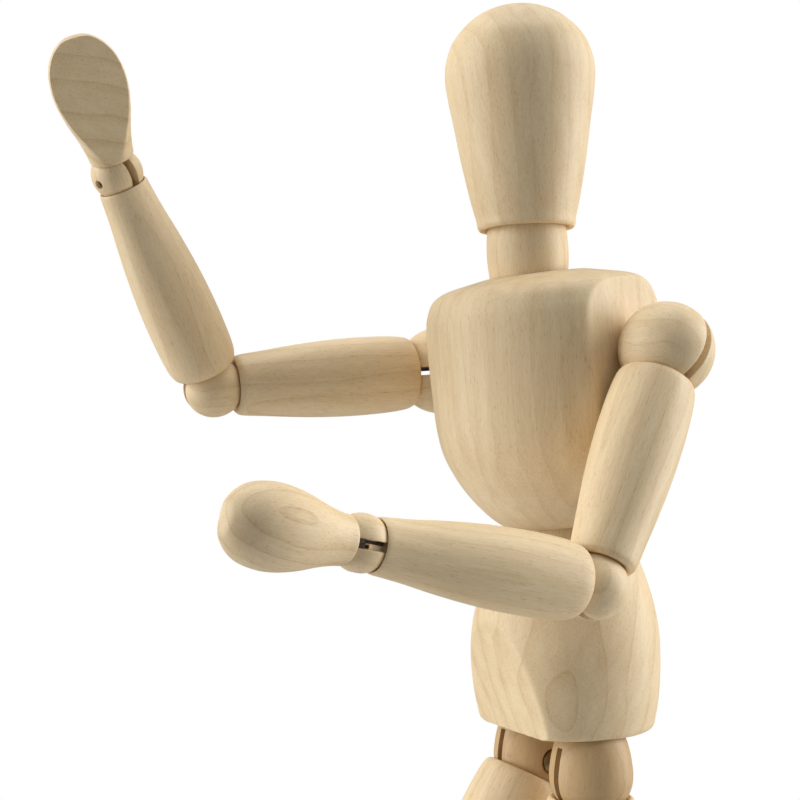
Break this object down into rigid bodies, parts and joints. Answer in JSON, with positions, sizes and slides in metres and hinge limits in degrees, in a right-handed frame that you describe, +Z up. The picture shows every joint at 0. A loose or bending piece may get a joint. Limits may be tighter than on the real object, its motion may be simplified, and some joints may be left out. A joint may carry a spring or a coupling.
{
  "type": "jointed artist mannequin",
  "caption": "Turned wooden artist mannequin with slotted ball joints, standing on a rod and round base with one leg forward and both hands raised.",
  "frame": {"origin": "centre of the base's flat underside", "axes": "+Z up out of the base, -Y the way the pelvis faces, +X the figure's left"},
  "size_m": [0.0901, 0.1391, 0.3046],
  "materials": {
    "pale_wood": "bare turned wood, fine sanded",
    "hip_wood": "darker turned wood, fine sanded",
    "steel": "plain drawn wire and strip",
    "aged_brass": "dull, darkened"
  },
  "bodies": {
    "base": {"base": "pale_wood", "support_rod": "steel"},
    "pelvis": {"pelvis": "pale_wood"},
    "waist": {"waist_link": "pale_wood", "waist_spring": "steel"},
    "chest": {"chest": "pale_wood", "shoulder_spring": "steel"},
    "neck": {"neck_link": "pale_wood", "neck_spring": "steel"},
    "head": {"head": "pale_wood"},
    "shoulder_left": {"shoulder_ball_left": "pale_wood", "shoulder_pin_strip_left": "steel"},
    "upper_arm_left": {"upper_arm_left": "pale_wood", "upper_arm_spring_left": "steel"},
    "elbow_left": {"elbow_ball_left": "pale_wood", "elbow_pin_strip_left": "steel"},
    "forearm_left": {"forearm_left": "pale_wood", "forearm_spring_left": "steel"},
    "wrist_left": {"wrist_ball_left": "pale_wood", "wrist_pin_strip_left": "steel"},
    "hand_left": {"hand_left": "pale_wood", "hand_strip_left": "steel"},
    "hip_left": {"hip_link_left": "hip_wood", "hip_screw_left": "aged_brass", "hip_strip_left": "steel"},
    "thigh_left": {"thigh_left": "pale_wood", "thigh_spring_left": "steel"},
    "knee_left": {"knee_ball_left": "pale_wood", "knee_pin_strip_left": "steel"},
    "shin_left": {"shin_left": "pale_wood", "shin_spring_left": "steel"},
    "ankle_left": {"ankle_ball_left": "pale_wood", "ankle_pin_strip_left": "steel"},
    "foot_left": {"foot_left": "pale_wood", "foot_strip_left": "steel"},
    "shoulder_right": {"shoulder_ball_right": "pale_wood", "shoulder_pin_strip_right": "steel"},
    "upper_arm_right": {"upper_arm_right": "pale_wood", "upper_arm_spring_right": "steel"},
    "elbow_right": {"elbow_ball_right": "pale_wood", "elbow_pin_strip_right": "steel"},
    "forearm_right": {"forearm_right": "pale_wood", "forearm_spring_right": "steel"},
    "wrist_right": {"wrist_ball_right": "pale_wood", "wrist_pin_strip_right": "steel"},
    "hand_right": {"hand_right": "pale_wood", "hand_strip_right": "steel"},
    "hip_right": {"hip_link_right": "hip_wood", "hip_screw_right": "aged_brass", "hip_strip_right": "steel"},
    "thigh_right": {"thigh_right": "pale_wood", "thigh_spring_right": "steel"},
    "knee_right": {"knee_ball_right": "pale_wood", "knee_pin_strip_right": "steel"},
    "shin_right": {"shin_right": "pale_wood", "shin_spring_right": "steel"},
    "ankle_right": {"ankle_ball_right": "pale_wood", "ankle_pin_strip_right": "steel"},
    "foot_right": {"foot_right": "pale_wood", "foot_strip_right": "steel"}
  },
  "joints": [
    {"name": "pelvis_turn", "type": "hinge", "parent": "base", "child": "pelvis", "pos_m": [0, 0.0085, 0.1697], "axis": [0, 0, 1], "continuous": true},
    {"name": "waist_turn", "type": "hinge", "parent": "pelvis", "child": "waist", "pos_m": [0, 0, 0.2058], "axis": [0, 0, 1], "range_deg": [-60, 60]},
    {"name": "waist_bend", "type": "hinge", "parent": "waist", "child": "chest", "pos_m": [0, 0, 0.2058], "axis": [0.944, 0.3251, 0.0558], "range_deg": [-28, 14]},
    {"name": "neck_nod", "type": "hinge", "parent": "chest", "child": "neck", "pos_m": [-0.00032, -0.0081, 0.25842], "axis": [0.944, 0.3251, 0.0558], "range_deg": [-40, 50]},
    {"name": "head_turn", "type": "hinge", "parent": "neck", "child": "head", "pos_m": [-0.00032, -0.0081, 0.25842], "axis": [-0.0528, -0.0182, 0.9984], "continuous": true},
    {"name": "shoulder_swivel_left", "type": "hinge", "parent": "chest", "child": "shoulder_left", "pos_m": [0.0246, 0.00486, 0.23976], "axis": [0.944, 0.3251, 0.0558], "range_deg": [-110, 10]},
    {"name": "shoulder_bend_left", "type": "hinge", "parent": "shoulder_left", "child": "upper_arm_left", "pos_m": [0.0246, 0.00486, 0.23976], "axis": [-0.2504, 0.8165, -0.5202], "range_deg": [-170, 0.7]},
    {"name": "elbow_swivel_left", "type": "hinge", "parent": "upper_arm_left", "child": "elbow_left", "pos_m": [0.03429, -0.01726, 0.20038], "axis": [0.2097, -0.4788, -0.8525], "range_deg": [-90, 30]},
    {"name": "elbow_bend_left", "type": "hinge", "parent": "elbow_left", "child": "forearm_left", "pos_m": [0.03429, -0.01726, 0.20038], "axis": [-0.9767, -0.0621, -0.2054], "range_deg": [-145, 1.5]},
    {"name": "wrist_swivel_left", "type": "hinge", "parent": "forearm_left", "child": "wrist_left", "pos_m": [0.03517, -0.06064, 0.20933], "axis": [0.0198, -0.9792, 0.2021], "continuous": true},
    {"name": "wrist_bend_left", "type": "hinge", "parent": "wrist_left", "child": "hand_left", "pos_m": [0.03517, -0.06064, 0.20933], "axis": [-0.0115, -0.2023, -0.9793], "range_deg": [-50, 70]},
    {"name": "shoulder_swivel_right", "type": "hinge", "parent": "chest", "child": "shoulder_right", "pos_m": [-0.02581, -0.0125, 0.23678], "axis": [-0.944, -0.3251, -0.0558], "range_deg": [-90, 90]},
    {"name": "shoulder_bend_right", "type": "hinge", "parent": "shoulder_right", "child": "upper_arm_right", "pos_m": [-0.02581, -0.0125, 0.23678], "axis": [-0.0345, -0.0709, 0.9969], "range_deg": [-150, 27]},
    {"name": "elbow_swivel_right", "type": "hinge", "parent": "upper_arm_right", "child": "elbow_right", "pos_m": [-0.03131, -0.05824, 0.23333], "axis": [-0.119, -0.9901, -0.0746], "range_deg": [-90, 90]},
    {"name": "elbow_bend_right", "type": "hinge", "parent": "elbow_right", "child": "forearm_right", "pos_m": [-0.03131, -0.05824, 0.23333], "axis": [-0.9558, 0.0939, 0.2786], "range_deg": [-140, 7.5]},
    {"name": "wrist_swivel_right", "type": "hinge", "parent": "forearm_right", "child": "wrist_right", "pos_m": [-0.02247, -0.07991, 0.27095], "axis": [0.1994, -0.489, 0.8492], "continuous": true},
    {"name": "wrist_bend_right", "type": "hinge", "parent": "wrist_right", "child": "hand_right", "pos_m": [-0.02247, -0.07991, 0.27095], "axis": [-0.258, 0.8098, 0.527], "range_deg": [-70, 50]},
    {"name": "hip_swivel_left", "type": "hinge", "parent": "pelvis", "child": "hip_left", "pos_m": [0.0097, -0.0008, 0.1625], "axis": [0, 0, 1], "range_deg": [-15, 15]},
    {"name": "hip_bend_left", "type": "hinge", "parent": "hip_left", "child": "thigh_left", "pos_m": [0.0097, -0.0008, 0.1625], "axis": [1, 0, 0], "range_deg": [-48, 4]},
    {"name": "knee_swivel_left", "type": "hinge", "parent": "thigh_left", "child": "knee_left", "pos_m": [0.0097, -0.0008, 0.0945], "axis": [0, 0, -1], "range_deg": [-30, 30]},
    {"name": "knee_bend_left", "type": "hinge", "parent": "knee_left", "child": "shin_left", "pos_m": [0.0097, -0.0008, 0.0945], "axis": [1, 0, 0], "range_deg": [-30, 70]},
    {"name": "ankle_swivel_left", "type": "hinge", "parent": "shin_left", "child": "ankle_left", "pos_m": [0.0097, -0.0008, 0.0305], "axis": [0, 0, -1], "range_deg": [-30, 30]},
    {"name": "ankle_bend_left", "type": "hinge", "parent": "ankle_left", "child": "foot_left", "pos_m": [0.0097, -0.0008, 0.0305], "axis": [1, 0, 0], "range_deg": [-15, 15]},
    {"name": "hip_swivel_right", "type": "hinge", "parent": "pelvis", "child": "hip_right", "pos_m": [-0.0097, -0.0008, 0.1625], "axis": [0, 0, 1], "range_deg": [-15, 15]},
    {"name": "hip_bend_right", "type": "hinge", "parent": "hip_right", "child": "thigh_right", "pos_m": [-0.0097, -0.0008, 0.1625], "axis": [1, 0, 0], "range_deg": [-20, 32]},
    {"name": "knee_swivel_right", "type": "hinge", "parent": "thigh_right", "child": "knee_right", "pos_m": [-0.0097, -0.03272, 0.10246], "axis": [0, -0.4695, -0.8829], "range_deg": [-30, 30]},
    {"name": "knee_bend_right", "type": "hinge", "parent": "knee_right", "child": "shin_right", "pos_m": [-0.0097, -0.03272, 0.10246], "axis": [1, 0, 0], "range_deg": [-70, 30]},
    {"name": "ankle_swivel_right", "type": "hinge", "parent": "shin_right", "child": "ankle_right", "pos_m": [-0.0097, -0.01942, 0.03986], "axis": [0, 0.2079, -0.9781], "range_deg": [-30, 30]},
    {"name": "ankle_bend_right", "type": "hinge", "parent": "ankle_right", "child": "foot_right", "pos_m": [-0.0097, -0.01942, 0.03986], "axis": [1, 0, 0], "range_deg": [-25, 20]}
  ]
}
